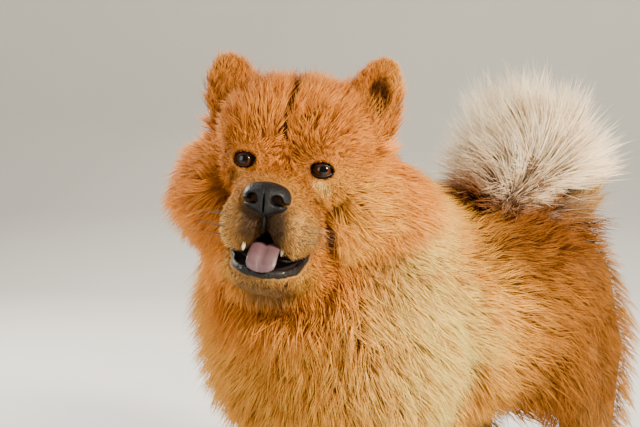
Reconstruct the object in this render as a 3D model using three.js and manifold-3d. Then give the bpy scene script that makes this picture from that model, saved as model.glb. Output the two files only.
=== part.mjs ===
import * as THREE from "three";
import { mergeVertices } from "three/addons/utils/BufferGeometryUtils.js";
import Module from "manifold-3d";

const wasm = await Module();
wasm.setup();

// A standing red chow chow, life size, in millimetres. +X runs from rump to chest, +Y is the dog's left,
// and +Z is up. Every solid reaches to the tips of the coat, so each size below is flesh and coat together.

// Driving dimensions
const WITHERS = 520; // top of the shoulders, coat included
const BODY = 560; // breastbone to rump
const WIDTH = 320; // across the ribs
const EYE_HEIGHT = 574;
const EYE_SPACING = 79; // between the centres of the two eyes
const EYEBALL = 11.5; // radius
const STANCE = 82; // from the midline to each leg
const GAP = 0.3; // left between two solids that meet

// How the head is held: turned to the dog's left, lifted a little, and tipped to the left
const HEAD_YAW = 31;
const HEAD_PITCH = 4;
const HEAD_ROLL = -7.5;
const HEAD_AT = [0.545 * BODY, 30, EYE_HEIGHT];

// A mass is an ellipsoid of flesh and coat: its centre and its half sizes along x, y and z.
const mass = (at, half) => ({ at: new THREE.Vector3(...at), half: new THREE.Vector3(...half) });

// The same mass on both sides of the midline
const pair = (at, half) => [1, -1].map((side) => mass([at[0], side * at[1], at[2]], half));

// Signed distance, nearly, from a point to an ellipsoid
function distance(point, { at, half }) {
  const p = point.clone().sub(at);
  const scaled = p.clone().divide(half).length();
  const slope = p.divide(half).divide(half).length();
  return slope > 0 ? (scaled * (scaled - 1)) / slope : -Math.min(half.x, half.y, half.z);
}

// Masses run into each other with a fillet of about the blend's size.
function field(point, masses, blend) {
  return masses.reduce((nearest, each) => {
    const d = distance(point, each);
    const overlap = Math.max(blend - Math.abs(nearest - d), 0) / blend;
    return Math.min(nearest, d) - (overlap * overlap * blend) / 4;
  }, 1e4);
}

// Only positions, with shared corners merged, as a solid needs
function bare(geometry) {
  geometry.deleteAttribute("normal");
  geometry.deleteAttribute("uv");
  return mergeVertices(geometry, 1e-4);
}

// The surface that a group of masses makes, as a round mesh drawn in from outside until it meets them
function body(masses, { centre, stretch = [1, 1, 1], blend = 40, detail = 9, grow = 0, floor = -1e4 }) {
  const geometry = bare(new THREE.IcosahedronGeometry(1, detail));
  const position = geometry.getAttribute("position");
  const from = new THREE.Vector3(...centre);
  const way = new THREE.Vector3();
  const point = new THREE.Vector3();
  for (let i = 0; i < position.count; i++) {
    way.fromBufferAttribute(position, i).multiply(new THREE.Vector3(...stretch)).normalize();
    let reach = 600;
    for (let step = 0; step < 90; step++) {
      point.copy(from).addScaledVector(way, reach);
      const gap = field(point, masses, blend) - grow;
      if (gap < 0.01) break;
      reach -= 0.8 * gap;
    }
    position.setXYZ(i, point.x, point.y, Math.max(point.z, floor));
  }
  return geometry;
}

// A leg, ear or claw: level rings from the first joint to the last, with half sizes that change along the way
function limb(joints, { sides = 9, rings = 6, grow = 0 } = {}) {
  const through = (points) => new THREE.CatmullRomCurve3(points, false, "centripetal");
  const middles = through(joints.map(({ at }) => new THREE.Vector3(...at)));
  const halves = through(joints.map(({ half }) => new THREE.Vector3(...half, 0)));
  const geometry = bare(new THREE.CylinderGeometry(1, 1, 1, sides, rings));
  const position = geometry.getAttribute("position");
  for (let i = 0; i < position.count; i++) {
    const along = 0.5 - position.getY(i);
    const middle = middles.getPoint(along);
    const half = halves.getPoint(along);
    const cap = Math.abs(along - 0.5) > 0.49 ? Math.sign(along - 0.5) * grow : 0;
    middle.addScaledVector(middles.getTangent(along), cap);
    position.setXYZ(
      i,
      middle.x + position.getZ(i) * (half.x + grow),
      middle.y + position.getX(i) * (half.y + grow),
      middle.z
    );
  }
  return geometry;
}

// Between a geometry and a solid that can be joined and cut
function solid(geometry) {
  const { position } = geometry.attributes;
  const mesh = new wasm.Mesh({
    numProp: 3,
    vertProperties: new Float32Array(position.array),
    triVerts: new Uint32Array(geometry.index.array),
  });
  return new wasm.Manifold(mesh);
}

function geometryOf(made) {
  const mesh = made.getMesh();
  return new THREE.BufferGeometry()
    .setAttribute("position", new THREE.BufferAttribute(mesh.vertProperties, 3))
    .setIndex(new THREE.BufferAttribute(mesh.triVerts, 1));
}

const cut = (first, ...others) => others.reduce((made, other) => made.subtract(other), first);

// The largest piece, once a cut has left slivers beside it
const largest = (made) => made.decompose().sort((a, b) => b.volume() - a.volume())[0];

const dog = new THREE.Group();
const head = new THREE.Group();
head.position.set(...HEAD_AT);
head.rotation.set(
  THREE.MathUtils.degToRad(HEAD_ROLL),
  THREE.MathUtils.degToRad(-HEAD_PITCH),
  THREE.MathUtils.degToRad(HEAD_YAW),
  "ZYX"
);
dog.add(head);
dog.updateMatrixWorld(true);

// A solid made in the head's own frame, as it stands in the dog's
const turned = (geometry) => solid(geometry.clone().applyMatrix4(head.matrixWorld));

function add(group, name, made, finish) {
  const mesh = new THREE.Mesh(geometryOf(largest(made)), finish);
  mesh.name = name;
  group.add(mesh);
}

// Finishes
const finish = (color, roughness) => new THREE.MeshStandardMaterial({ color, roughness, metalness: 0 });
const redCoat = finish(0xc98a4b, 0.85);
const paleCoat = finish(0xd9c3a4, 0.85);
const greyMuzzle = finish(0x8c7c68, 0.85);
const noseLeather = finish(0x1c1b1e, 0.4);
const tongueFlesh = finish(0x6d5258, 0.45);
const toothIvory = finish(0xd8cdb0, 0.35);
const eyeBrown = finish(0x20130d, 0.1);
const clawHorn = finish(0x2a2522, 0.5);

// The head's own frame has its origin between the eyes, with +X out along the muzzle.
const SKULL = [
  mass([-72, 0, 18], [82, 96, 81]),
  ...pair([-26, 34, 26], [40, 42, 40]),
  ...pair([-56, 66, -34], [58, 62, 66]),
  mass([-84, -6, -38], [60, 146, 122]),
  mass([-22, 0, -98], [62, 68, 44]),
];
const MUZZLE = [
  mass([14, 0, -32], [56, 42, 28]),
  ...pair([40, 22, -54], [30, 24, 26]),
  ...pair([16, 30, -66], [44, 18, 26]),
];
const JAW = [mass([14, 3, -104], [48, 43, 18]), mass([38, 3, -105], [26, 30, 15])];
const NOSE = [mass([66, 0, -28], [14, 19, 11]), ...pair([64, 13, -34], [13, 10, 12])];
const TONGUE = [mass([22, 4, -92], [50, 18, 9]), mass([58, 4, -90], [17, 17, 15])];
const LIP_NOTCH = [mass([60, 4, -96], [52, 17, 26])];

const skullShape = { centre: [-60, 0, 0], blend: 34, detail: 5 };
const muzzleShape = { centre: [14, 0, -48], blend: 18, detail: 3 };
const jawShape = { centre: [18, 3, -104], blend: 12, detail: 2, stretch: [1, 0.8, 0.5] };
const noseShape = { centre: [62, 0, -30], blend: 7, detail: 2 };
const tongueShape = { centre: [32, 4, -91], blend: 12, detail: 2, stretch: [1, 0.6, 0.5] };

const grown = (shape) => ({ ...shape, grow: GAP });
const eyeAt = (side) => [-9, (side * EYE_SPACING) / 2, 0];
const eyeball = (side, grow = 0) =>
  bare(new THREE.SphereGeometry(EYEBALL + grow, 10, 6)).translate(...eyeAt(side));

// Each upper canine hangs beside the tongue.
const canine = (side, grow = 0) =>
  limb(
    [
      { at: [46, side * 20, -74], half: [3.8, 3.2] },
      { at: [47, side * 19.5, -88], half: [3, 2.6] },
      { at: [46, side * 19, -98], half: [0.9, 0.9] },
    ],
    { sides: 6, rings: 2, grow }
  );

// The left ear stands up, and the right one leans outwards.
const EARS = [
  { name: "ear_left", side: 1, tip: [-58, 82, 120] },
  { name: "ear_right", side: -1, tip: [-64, 84, 100] },
];

function ear({ side, tip }, grow = 0) {
  const [tipX, tipY, tipZ] = tip;
  const foot = [-66, side * 68, 40];
  const joints = [0, 0.35, 0.7, 0.92, 1].map((along, i) => ({
    at: [
      THREE.MathUtils.lerp(foot[0], tipX, along),
      THREE.MathUtils.lerp(foot[1], side * tipY, along),
      THREE.MathUtils.lerp(foot[2], tipZ, along),
    ],
    half: [[15, 14, 11, 8, 3][i], [33, 32, 25, 16, 6][i]],
  }));
  return limb(joints.reverse(), { sides: 8, rings: 6, grow });
}

// The hollow of the ear opens forwards.
const earHollow = ({ side, tip }) =>
  body([mass([tip[0] + 14, side * (tip[1] + 4), tip[2] - 32], [17, 14, 24])], {
    centre: [tip[0] + 14, side * (tip[1] + 4), tip[2] - 32],
    detail: 1,
  });

const skull = (grow = 0) => body(SKULL, { ...skullShape, grow });
const muzzle = (grow = 0) => body(MUZZLE, { ...muzzleShape, grow });
const jaw = (grow = 0) => body(JAW, { ...jawShape, grow });
const notch = body(LIP_NOTCH, { centre: LIP_NOTCH[0].at.toArray(), detail: 1 });
const sides = [1, -1];
const label = (side) => (side > 0 ? "left" : "right");

// The lids open over each eyeball.
const lidOpening = (side) => {
  const [x, y, z] = eyeAt(side);
  return body([mass([x + 14, y, z], [20, 12.5, 8])], { centre: [x + 14, y, z], detail: 1 });
};
const eyeHoles = sides.flatMap((side) => [solid(eyeball(side, GAP)), solid(lidOpening(side))]);
const canineHoles = sides.map((side) => solid(canine(side, GAP)));
const noseHole = solid(body(NOSE, grown(noseShape)));
const tongueHole = solid(body(TONGUE, grown(tongueShape)));

add(head, "nose", solid(body(NOSE, noseShape)), noseLeather);
add(head, "tongue", cut(solid(body(TONGUE, tongueShape)), ...canineHoles), tongueFlesh);
sides.forEach((side) => {
  add(head, `eye_${label(side)}`, solid(eyeball(side)), eyeBrown);
  add(head, `canine_${label(side)}`, solid(canine(side)), toothIvory);
});
const mouthHoles = [solid(notch), tongueHole, ...canineHoles];
add(head, "muzzle", cut(solid(muzzle()), noseHole, ...mouthHoles, ...eyeHoles), greyMuzzle);
add(head, "lower_jaw", cut(solid(jaw()), solid(muzzle(GAP)), tongueHole, ...canineHoles), greyMuzzle);
const faceHoles = [solid(muzzle(GAP)), solid(jaw(GAP)), solid(notch), tongueHole, ...eyeHoles];
add(head, "head", cut(solid(skull()), ...faceHoles), redCoat);
EARS.forEach((each) =>
  add(head, each.name, cut(solid(ear(each)), solid(skull(GAP)), solid(earHollow(each))), redCoat)
);

// The body, in the dog's frame
const TRUNK = [
  mass([0.05 * BODY, 0, 0.73 * WITHERS], [200, WIDTH / 2, 146]),
  mass([-0.2 * BODY, 0, 0.74 * WITHERS], [150, 0.46 * WIDTH, 130]),
  mass([-0.36 * BODY, 0, 0.76 * WITHERS], [108, 0.4 * WIDTH, 112]),
];
const MANE = [
  mass([0.35 * BODY, 0, 0.69 * WITHERS], [122, 174, 142]),
  mass([0.34 * BODY, -8, 0.87 * WITHERS], [118, 188, 140]),
  mass([0.22 * BODY, 0, 0.86 * WITHERS], [105, 130, 92]),
];
const TAIL = [
  mass([-0.48 * BODY, 0, 0.92 * WITHERS], [50, 60, 60]),
  mass([-0.38 * BODY, 10, 1.06 * WITHERS], [100, 100, 86]),
  mass([-0.24 * BODY, 20, 1.1 * WITHERS], [128, 122, 92]),
  mass([-0.36 * BODY, 72, 0.97 * WITHERS], [92, 62, 56]),
];

const trunkShape = { centre: [-40, 0, 390], stretch: [1.5, 0.8, 0.8], blend: 60, detail: 4 };
const maneShape = { centre: [190, 0, 440], blend: 50, detail: 4 };
const tailShape = { centre: [-170, 0, 530], stretch: [1.3, 1, 0.8], blend: 40, detail: 3 };

const foreleg = (side, grow = 0) =>
  limb(
    [
      { at: [138, side * STANCE, 330], half: [70, 50] },
      { at: [142, side * STANCE, 250], half: [62, 51] },
      { at: [150, side * STANCE, 170], half: [49, 44] },
      { at: [156, side * STANCE, 90], half: [41, 38] },
      { at: [160, side * STANCE, 34], half: [41, 38] },
    ],
    { grow }
  );
const hindleg = (side, grow = 0) =>
  limb(
    [
      { at: [-170, side * (STANCE - 30), 470], half: [40, 24] },
      { at: [-176, side * (STANCE + 2), 400], half: [92, 56] },
      { at: [-180, side * (STANCE + 14), 320], half: [104, 64] },
      { at: [-192, side * (STANCE + 12), 240], half: [82, 55] },
      { at: [-220, side * (STANCE + 6), 160], half: [56, 44] },
      { at: [-234, side * STANCE, 95], half: [44, 39] },
      { at: [-230, side * STANCE, 34], half: [41, 37] },
    ],
    { rings: 6, grow }
  );

// A paw is a pad with four toes, flat underneath.
const TOES = [-1.5, -0.5, 0.5, 1.5];
const toeAt = (heel, side, toe) => [heel + 38 - 5 * Math.abs(toe), side * STANCE + 15.5 * toe, 17];
const pawMasses = (heel, side) => [
  mass([heel, side * STANCE, 28], [38, 37, 30]),
  ...TOES.map((toe) => mass(toeAt(heel, side, toe), [22, 11, 18])),
];
function paw(heel, side, grow = 0) {
  const centre = [heel + 8, side * STANCE, 20];
  return body(pawMasses(heel, side), { centre, blend: 8, detail: 3, grow, floor: grow ? -1e4 : 0 });
}

// Each claw curves down from the front of its toe.
function claw(heel, side, toe, grow = 0) {
  const [x, y, z] = toeAt(heel, side, toe);
  return limb(
    [
      { at: [x + 14, y, z + 6], half: [3.6, 2.8] },
      { at: [x + 21, y, z + 1], half: [3.4, 2.6] },
      { at: [x + 27, y, z - 9], half: [0.9, 0.8] },
    ],
    { sides: 5, rings: 2, grow }
  );
}

const FEET = [
  { name: "fore", heel: 168, leg: foreleg },
  { name: "hind", heel: -218, leg: hindleg },
];
const headHole = turned(skull(GAP));
const muzzleHole = turned(muzzle(GAP));
const jawHole = turned(jaw(GAP));
const maneHole = solid(body(MANE, grown(maneShape)));
const trunkHole = solid(body(TRUNK, grown(trunkShape)));
const tailHole = solid(body(TAIL, grown(tailShape)));
const earHoles = EARS.map((each) => turned(ear(each, GAP)));

add(dog, "neck", cut(solid(body(MANE, maneShape)), headHole, muzzleHole, jawHole, ...earHoles), redCoat);
add(dog, "trunk", cut(solid(body(TRUNK, trunkShape)), maneHole, headHole), redCoat);
add(dog, "tail", cut(solid(body(TAIL, tailShape)), trunkHole, maneHole), paleCoat);

FEET.forEach(({ name, heel, leg }) =>
  sides.forEach((side) => {
    const pawHole = solid(paw(heel, side, GAP));
    const clawHoles = TOES.map((toe) => solid(claw(heel, side, toe, GAP)));
    const shin = cut(solid(leg(side)), pawHole, trunkHole, maneHole, tailHole);
    add(dog, `${name}leg_${label(side)}`, shin, redCoat);
    add(dog, `${name}paw_${label(side)}`, cut(solid(paw(heel, side)), ...clawHoles), redCoat);
    TOES.forEach((toe, i) =>
      add(dog, `claw_${name}_${label(side)}_${i + 1}`, solid(claw(heel, side, toe)), clawHorn)
    );
  })
);

// The origin is on the floor, under the middle of the whole model.
dog.updateMatrixWorld(true);
const box = new THREE.Box3().setFromObject(dog, true);
const middle = box.getCenter(new THREE.Vector3());
dog.position.set(-middle.x, -middle.y, -box.min.z);

export default dog;
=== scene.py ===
import math

import bmesh
import bpy
import numpy as np
from mathutils import Euler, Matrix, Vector
from mathutils.kdtree import KDTree


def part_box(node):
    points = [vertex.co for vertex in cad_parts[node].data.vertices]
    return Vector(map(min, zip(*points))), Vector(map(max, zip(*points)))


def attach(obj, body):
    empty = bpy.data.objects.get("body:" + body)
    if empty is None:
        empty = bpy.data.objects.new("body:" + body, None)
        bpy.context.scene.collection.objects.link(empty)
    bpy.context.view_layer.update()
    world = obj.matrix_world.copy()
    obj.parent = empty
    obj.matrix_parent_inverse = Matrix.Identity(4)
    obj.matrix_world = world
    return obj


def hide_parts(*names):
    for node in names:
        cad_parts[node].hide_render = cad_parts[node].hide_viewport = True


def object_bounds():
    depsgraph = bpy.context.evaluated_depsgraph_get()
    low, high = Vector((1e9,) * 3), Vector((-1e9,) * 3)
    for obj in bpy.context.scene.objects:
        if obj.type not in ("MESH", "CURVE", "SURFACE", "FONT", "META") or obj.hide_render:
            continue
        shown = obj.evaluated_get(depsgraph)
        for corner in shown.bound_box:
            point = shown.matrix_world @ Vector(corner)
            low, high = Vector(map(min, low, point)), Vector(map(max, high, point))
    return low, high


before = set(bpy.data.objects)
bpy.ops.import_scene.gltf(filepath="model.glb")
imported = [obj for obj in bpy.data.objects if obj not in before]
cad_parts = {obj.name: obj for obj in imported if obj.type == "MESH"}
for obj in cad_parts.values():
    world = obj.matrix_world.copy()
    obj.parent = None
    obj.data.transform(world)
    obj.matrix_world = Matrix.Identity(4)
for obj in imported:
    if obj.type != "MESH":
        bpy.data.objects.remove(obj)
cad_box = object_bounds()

# Skin
# The body of a standing red chow chow, life size, is one closed skin under the coat. It is drawn from
# masses of flesh, each an ellipsoid with its coat's half sizes and its skin's, so the same list gives the
# tips of the coat. Sizes are in millimetres until a mesh is made, and the driving ones are the solids'.
WITHERS = 520
BODY = 560
WIDTH = 320
STANCE = 82
EYE_HEIGHT = 574
EYE_SETBACK = 9
EYE_SPREAD = 39.5

# The head turns to the dog's left, and its own frame has its origin between the eyes
HEAD_TURN = np.radians((-7.5, -4, 31))
head_turn = np.array(Euler(HEAD_TURN, "XYZ").to_matrix(), np.float32)
upright = np.eye(3, dtype=np.float32)
SIDES = {"left": 1, "right": -1}
eyes = [np.mean([list(corner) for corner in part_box(f"eye_{side}")], axis=0) * 1000 for side in SIDES]
head_origin = (eyes[0] + eyes[1]) / 2 + EYE_SETBACK * head_turn[:, 0]
dog_origin = head_origin - (0.545 * BODY, 30, EYE_HEIGHT)


def from_head(points):
    return np.asarray(points, float) @ head_turn.T + head_origin


def to_head(points):
    return (points - head_origin) @ head_turn


BLEND_ROOM = 62


def mass(at, coat, skin, head=False):
    """A mass's place, turn, and half sizes with the coat and without it, None where it has no flesh."""
    centre = from_head(at) if head else np.add(at, dog_origin)
    room = max(coat) + BLEND_ROOM
    return {
        "at": centre.astype(np.float32), "turn": head_turn if head else upright, "sizes": (coat, skin),
        "low": centre - room, "high": centre + room,
    }


def pair(at, coat, skin, head=False):
    return [mass((at[0], side * at[1], at[2]), coat, skin, head) for side in (1, -1)]


def rod(joints, head=False):
    """A chain of joints, each with a place and half sizes, coat first and then skin, along x and y."""
    place = from_head if head else lambda at: np.add(at, dog_origin)
    places = np.array([place(at) for at, _, _ in joints])
    room = max(max(coat) for _, coat, _ in joints) + BLEND_ROOM
    return {
        "joints": [(place(at).astype(np.float32), coat, skin) for at, coat, skin in joints],
        "turn": head_turn if head else upright,
        "low": places.min(axis=0) - room, "high": places.max(axis=0) + room,
    }


def to_ellipsoid(points, centre, half, turn):
    local = (points - centre) @ turn
    scaled = np.linalg.norm(local / half, axis=1)
    slope = np.linalg.norm(local / np.square(half), axis=1)
    return scaled * (scaled - 1) / np.maximum(slope, 1e-6)


def to_rod(points, shape, layer):
    nearest = np.full(len(points), 1e4, np.float32)
    for (start, *first), (end, *second) in zip(shape["joints"], shape["joints"][1:]):
        way = end - start
        along = np.clip((points - start) @ way / (way @ way), 0, 1)[:, None]
        half = np.float32(first[layer]) + along * np.subtract(second[layer], first[layer], dtype=np.float32)
        depth = half.mean(axis=1, keepdims=True)
        local = (points - start - along * way) @ shape["turn"]
        ratio = np.linalg.norm(local / np.hstack([half, depth]), axis=1)
        nearest = np.minimum(nearest, (ratio - 1) * half.min(axis=1))
    return nearest


def merged(first, second, blend):
    overlap = np.maximum(blend - np.abs(first - second), 0) / blend
    return np.minimum(first, second) - overlap * overlap * blend / 4


def distances(points, group, layer, blend):
    """How far points are from a group of masses and rods, run together with a fillet of size blend."""
    nearest = np.full(len(points), 1e3, np.float32)
    for shape in group:
        if "sizes" in shape and shape["sizes"][layer] is None:
            continue
        close = np.flatnonzero(np.all((points > shape["low"]) & (points < shape["high"]), axis=1))
        if "joints" in shape:
            reached = to_rod(points[close], shape, layer)
        else:
            half = np.float32(shape["sizes"][layer])
            reached = to_ellipsoid(points[close], shape["at"], half, shape["turn"])
        nearest[close] = merged(nearest[close], reached, blend)
    return nearest


COAT, SKIN = 0, 1
trunk = [
    mass((0.05 * BODY, 0, 0.73 * WITHERS), (200, WIDTH / 2, 146), (160, 112, 104)),
    mass((-0.2 * BODY, 0, 0.74 * WITHERS), (150, 0.46 * WIDTH, 130), (118, 100, 92)),
    mass((-0.36 * BODY, 0, 0.76 * WITHERS), (108, 0.4 * WIDTH, 112), (76, 86, 76)),
]
neck = [
    mass((0.35 * BODY, 0, 0.69 * WITHERS), (122, 174, 142), (84, 118, 104)),
    mass((0.34 * BODY, -8, 0.87 * WITHERS), (118, 188, 140), (78, 114, 102)),
    mass((0.22 * BODY, 0, 0.86 * WITHERS), (105, 130, 92), (76, 88, 60)),
]
tail = [
    mass((-0.48 * BODY, 0, 0.92 * WITHERS), (50, 60, 60), None),
    mass((-0.38 * BODY, 10, 1.06 * WITHERS), (100, 100, 86), None),
    mass((-0.24 * BODY, 20, 1.1 * WITHERS), (128, 122, 92), None),
    mass((-0.36 * BODY, 72, 0.97 * WITHERS), (92, 62, 56), None),
    rod([
        ((-236, 0, 440), (30, 30), (27, 27)),
        ((-276, 0, 480), (26, 26), (23, 23)),
        ((-272, 3, 516), (24, 24), (20, 20)),
        ((-230, 8, 541), (22, 22), (17, 17)),
        ((-168, 18, 536), (20, 20), (14, 14)),
        ((-112, 26, 518), (16, 16), (11, 11)),
        ((-68, 32, 500), (14, 14), (8, 8)),
    ]),
]
legs = []
for side in (1, -1):
    legs.append(rod([
        ((138, side * STANCE, 330), (70, 50), (48, 34)),
        ((142, side * STANCE, 250), (62, 51), (38, 31)),
        ((150, side * STANCE, 170), (49, 44), (27, 25)),
        ((156, side * STANCE, 90), (41, 38), (24, 23)),
        ((160, side * STANCE, 34), (41, 38), (26, 26)),
    ]))
    legs.append(rod([
        ((-170, side * (STANCE - 30), 470), (40, 24), (26, 16)),
        ((-176, side * (STANCE + 2), 400), (92, 56), (62, 36)),
        ((-180, side * (STANCE + 14), 320), (104, 64), (68, 38)),
        ((-192, side * (STANCE + 12), 240), (82, 55), (44, 31)),
        ((-220, side * (STANCE + 6), 160), (56, 44), (26, 24)),
        ((-234, side * STANCE, 95), (44, 39), (25, 23)),
        ((-230, side * STANCE, 34), (41, 37), (26, 25)),
    ]))
TOES = (-1.5, -0.5, 0.5, 1.5)
HEELS = {"fore": 168, "hind": -218}


def toe_at(heel, side, toe):
    return heel + 38 - 5 * abs(toe), side * STANCE + 15.5 * toe, 17


paws = []
for heel in HEELS.values():
    for side in (1, -1):
        paws.append(mass((heel, side * STANCE, 28), (38, 37, 30), (34, 33, 27)))
        paws += [mass(toe_at(heel, side, toe), (22, 11, 18), (20, 9.5, 16.5)) for toe in TOES]
skull = [
    mass((-72, 0, 18), (82, 96, 81), (62, 66, 56), True),
    *pair((-26, 34, 26), (40, 42, 40), (30, 30, 27), True),
    *pair((-56, 66, -34), (58, 62, 66), (34, 24, 34), True),
    mass((-84, -6, -38), (60, 146, 122), (50, 90, 74), True),
    mass((-22, 0, -98), (62, 68, 44), (40, 42, 22), True),
    *pair((-12, 39, -6), (20, 22, 20), (16, 19, 17), True),
]
muzzle = [
    mass((14, 0, -32), (56, 42, 28), (52, 37, 24), True),
    *pair((40, 22, -54), (30, 24, 26), (25, 19, 23), True),
    *pair((16, 30, -66), (44, 18, 26), (40, 13, 24), True),
]
jaw = [
    mass((14, 3, -104), (48, 43, 18), (44, 39, 14), True),
    mass((38, 3, -105), (26, 30, 15), (23, 27, 12), True),
]
EARS = ((1, (-58, 82, 120)), (-1, (-64, 84, 100)))
ears = []
for side, (tip_x, tip_y, tip_z) in EARS:
    foot = np.array((-66, side * 68, 40))
    reach = np.array((tip_x, side * tip_y, tip_z)) - foot
    ears.append(rod([
        (foot, (15, 33), (9, 27)),
        (foot + 0.35 * reach, (14, 32), (8, 26)),
        (foot + 0.68 * reach, (11, 25), (6, 22)),
        (foot + 0.86 * reach, (8, 18), (4.5, 15)),
        (foot + 0.94 * reach, (4, 10), (3, 8)),
    ], True))

# The lips part along two lines, told by the turn about an upright axis inside the muzzle.
LIP_AXIS = 10
LIP_SWING = 4
LIP_CORNER = 96
LIP_TURNS = (0, 6, 11, 16, 21, 32, 50, 70, 96)
UPPER_LIP = (-67, -70, -77, -87, -91, -92, -89, -86, -81)
LOWER_LIP = (-103, -103, -103, -102, -102, -100, -97, -92, -81)


def lip_turns(local):
    """Degrees round the mouth from the middle of the lips, towards the dog's left."""
    return np.degrees(np.arctan2(local[:, 1], local[:, 0] - LIP_AXIS)) - LIP_SWING


def lip_heights(turns):
    return tuple(np.interp(np.abs(turns), LIP_TURNS, line) for line in (UPPER_LIP, LOWER_LIP))


def mouth_gap(local):
    """Below nought inside the open mouth."""
    turns = lip_turns(local)
    upper, lower = lip_heights(turns)
    return np.maximum(local[:, 2] - upper, lower - local[:, 2]) + np.maximum(np.abs(turns) - LIP_CORNER, 0)


def head_flesh(points):
    return merged(distances(points, skull, SKIN, 26), distances(points, muzzle + jaw, SKIN, 14), 26)


def skin_groups(points):
    return {
        "body": merged(distances(points, trunk, SKIN, 60), distances(points, neck, SKIN, 50), 40),
        "tail": distances(points, tail, SKIN, 15),
        "legs": distances(points, legs, SKIN, 10),
        "paws": distances(points, paws, SKIN, 5),
        "head": head_flesh(points),
        "ears": distances(points, ears, SKIN, 10),
    }


def skin_field(points):
    groups = skin_groups(points)
    flesh = merged(groups["body"], groups["tail"], 20)
    flesh = merged(flesh, merged(groups["legs"], groups["paws"], 8), 30)
    flesh = merged(flesh, groups["head"], 40)
    flesh = merged(flesh, groups["ears"], 14)
    local = to_head(points)
    flesh = np.maximum(flesh, -mouth_gap(local))
    for side, (tip_x, tip_y, tip_z) in EARS:
        hollow = from_head((tip_x + 13, side * (tip_y - 3), tip_z - 46))
        flesh = np.maximum(flesh, -to_ellipsoid(points, hollow, np.array((16, 12, 28)), head_turn))
    for side in (1, -1):
        socket = from_head((EYE_SETBACK - 6, side * EYE_SPREAD, 0))
        flesh = np.maximum(flesh, -to_ellipsoid(points, socket, np.array((24, 13, 9.5)), head_turn))
    return np.maximum(flesh, 0.3 - points[:, 2])


def surface(field, axes, near, coarse=4):
    """Points and four-sided faces where a field is nought, on a grid with its lines at the axes' values."""
    shape = [len(axis) for axis in axes]
    rough_axes = [axis[::coarse] for axis in axes]
    rough = np.stack(np.meshgrid(*rough_axes, indexing="ij"), -1).astype(np.float32)
    values = field(rough.reshape(-1, 3)).reshape(rough.shape[:3])
    for axis in range(3):
        values = values.repeat(coarse, axis)
    values = values[: shape[0], : shape[1], : shape[2]].copy()
    close = np.argwhere(np.abs(values) < near)
    at = [np.asarray(axis)[close[:, i]] for i, axis in enumerate(axes)]
    values[tuple(close.T)] = field(np.stack(at, -1).astype(np.float32))
    inside = values < 0
    corners = np.stack(np.meshgrid((0, 1), (0, 1), (0, 1), indexing="ij"), -1).reshape(-1, 3)
    spans = [tuple(slice(c, n - 1 + c) for c, n in zip(corner, shape)) for corner in corners]
    count = sum(inside[span].astype(int) for span in spans)
    cells = np.argwhere((count > 0) & (count < 8))
    index = np.full([n - 1 for n in shape], -1)
    index[tuple(cells.T)] = np.arange(len(cells))
    total = np.zeros((len(cells), 3))
    hits = np.zeros((len(cells), 1))
    for axis in range(3):
        for corner in corners[corners[:, axis] == 0]:
            first = cells + corner
            second = first + np.eye(3, dtype=int)[axis]
            a = values[tuple(first.T)]
            b = values[tuple(second.T)]
            crossed = ((a < 0) != (b < 0))[:, None]
            share = (a / np.where(a == b, 1, a - b))[:, None]
            start = np.stack([np.asarray(line)[first[:, i]] for i, line in enumerate(axes)], -1)
            end = np.stack([np.asarray(line)[second[:, i]] for i, line in enumerate(axes)], -1)
            total += np.where(crossed, start + share * (end - start), 0)
            hits += crossed
    quads = []
    for axis in range(3):
        u, v = (axis + 1) % 3, (axis + 2) % 3
        edges = np.argwhere(np.diff(inside.astype(np.int8), axis=axis) != 0)
        for side in (u, v):
            edges = edges[(edges[:, side] > 0) & (edges[:, side] < shape[side] - 1)]
        around = []
        for du, dv in ((1, 1), (0, 1), (0, 0), (1, 0)):
            cell = edges.copy()
            cell[:, u] -= du
            cell[:, v] -= dv
            around.append(index[tuple(cell.T)])
        quad = np.stack(around, -1)
        leaving = inside[tuple(edges.T)]
        quads.append(np.where(leaving[:, None], quad, quad[:, ::-1]))
    return (total / hits).astype(np.float32), np.concatenate(quads)


def unit(vectors):
    return vectors / np.maximum(np.linalg.norm(vectors, axis=-1, keepdims=True), 1e-6)


def slopes(field, points, step=0.4):
    """How steeply the field rises along x, y and z at each point."""
    shifts = np.eye(3, dtype=np.float32) * step
    return np.stack([field(points + shift) - field(points - shift) for shift in shifts], -1) / (2 * step)


def settled(field, points, rounds=2):
    """Points moved onto the surface."""
    for _ in range(rounds):
        steep = slopes(field, points)
        size = np.maximum((steep ** 2).sum(axis=1, keepdims=True), 0.25)
        points = points - np.clip(field(points)[:, None] / size, -3, 3) * steep
    return points


def grid_line(*stretches):
    """Grid lines from each start to the next, at each stretch's own spacing."""
    lines = [np.arange(start, end, spacing) for start, end, spacing in stretches]
    return np.concatenate(lines)


def piece(name, points, faces, smooth=True):
    """A mesh in the frame, from points in millimetres."""
    mesh = bpy.data.meshes.new(name)
    mesh.vertices.add(len(points))
    mesh.vertices.foreach_set("co", (np.asarray(points) / 1000).astype(np.float32).ravel())
    mesh.loops.add(faces.size)
    mesh.loops.foreach_set("vertex_index", faces.astype(np.int32).ravel())
    mesh.polygons.add(len(faces))
    mesh.polygons.foreach_set("loop_start", np.arange(0, faces.size, faces.shape[1], dtype=np.int32))
    mesh.polygons.foreach_set("use_smooth", np.full(len(faces), smooth))
    mesh.update(calc_edges=True)
    made = bpy.data.objects.new(name, mesh)
    bpy.context.scene.collection.objects.link(made)
    return made


def paint(made, name, values):
    """A colour or a number for each point, as the mesh's own attribute."""
    kind = "FLOAT_COLOR" if values.ndim == 2 else "FLOAT"
    layer = made.data.attributes.new(name, kind, "POINT")
    if values.ndim == 2:
        values = np.hstack([values, np.ones((len(values), 1))])
    layer.data.foreach_set("color" if values.ndim == 2 else "value", values.astype(np.float32).ravel())


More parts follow.
